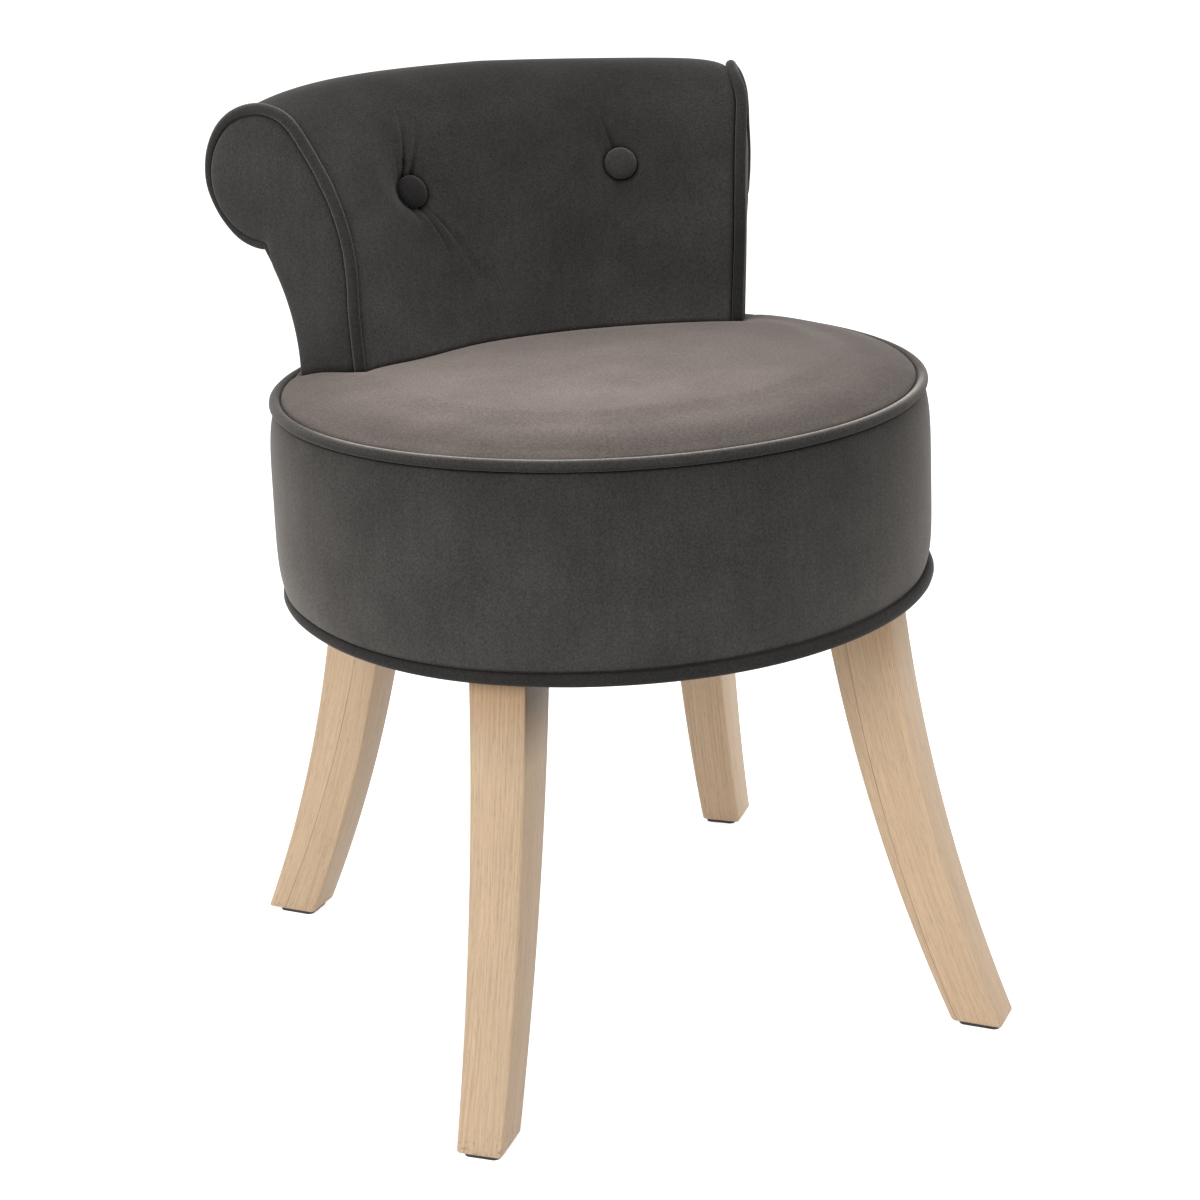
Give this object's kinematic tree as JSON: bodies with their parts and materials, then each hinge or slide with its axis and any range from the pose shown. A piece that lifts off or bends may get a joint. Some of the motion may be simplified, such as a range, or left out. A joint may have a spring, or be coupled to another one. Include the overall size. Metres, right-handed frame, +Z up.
{
  "type": "upholstered stool",
  "caption": "Round padded velvet stool with piped seams, a low curved scroll back with tufted buttons, and splayed sabre legs in pale wood.",
  "frame": {"origin": "on the floor, under the middle of the object's overall box", "axes": "+Z up, -Y towards the front of the seat, +X to the right as seen from the front"},
  "size_m": [0.4156, 0.4332, 0.5761],
  "materials": {
    "seat_velvet": "velvet",
    "band_velvet": "velvet",
    "back_velvet": "velvet",
    "end_velvet": "velvet",
    "button_velvet": "velvet",
    "piping_velvet": "velvet",
    "foam": "foam",
    "plywood": "raw plywood",
    "frame_wood": "raw",
    "leg_wood": "clear satin",
    "steel": "zinc plated",
    "dust_cloth": "non-woven",
    "glide_plastic": "matte",
    "cord": "waxed"
  },
  "bodies": {
    "root": {"seat_top_cover": "seat_velvet", "seat_band_cover": "band_velvet", "seat_piping_top": "piping_velvet", "seat_piping_bottom": "piping_velvet", "seat_foam": "foam", "seat_band_padding": "foam", "seat_deck_board": "plywood", "seat_hoop": "plywood", "seat_base_board": "plywood", "corner_block_front_left": "frame_wood", "corner_block_front_right": "frame_wood", "corner_block_back_left": "frame_wood", "corner_block_back_right": "frame_wood", "deck_screws": "steel", "base_screws": "steel", "dust_cover": "dust_cloth", "dust_cover_staples": "steel", "leg_front_left": "leg_wood", "leg_front_right": "leg_wood", "leg_back_left": "leg_wood", "leg_back_right": "leg_wood", "glide_front_left": "glide_plastic", "glide_front_right": "glide_plastic", "glide_back_left": "glide_plastic", "glide_back_right": "glide_plastic", "glide_nails": "steel", "leg_hanger_bolts": "steel", "leg_t_nuts": "steel", "back_front_cover": "back_velvet", "back_rear_cover": "back_velvet", "back_end_cover_left": "end_velvet", "back_end_cover_right": "end_velvet", "back_piping_left": "piping_velvet", "back_piping_right": "piping_velvet", "back_button_left": "button_velvet", "back_button_right": "button_velvet", "back_button_cords": "cord", "back_button_anchors": "frame_wood", "back_foam": "foam", "back_end_pad_left": "foam", "back_end_pad_right": "foam", "back_lining_board": "plywood", "back_rib_left": "plywood", "back_rib_centre": "plywood", "back_rib_right": "plywood", "back_bottom_rail": "frame_wood", "back_neck_rail": "frame_wood", "back_roll_rail": "frame_wood", "rib_screws": "steel", "back_bolts": "steel", "back_bolt_washers": "steel", "back_t_nuts": "steel"}
  },
  "joints": []
}
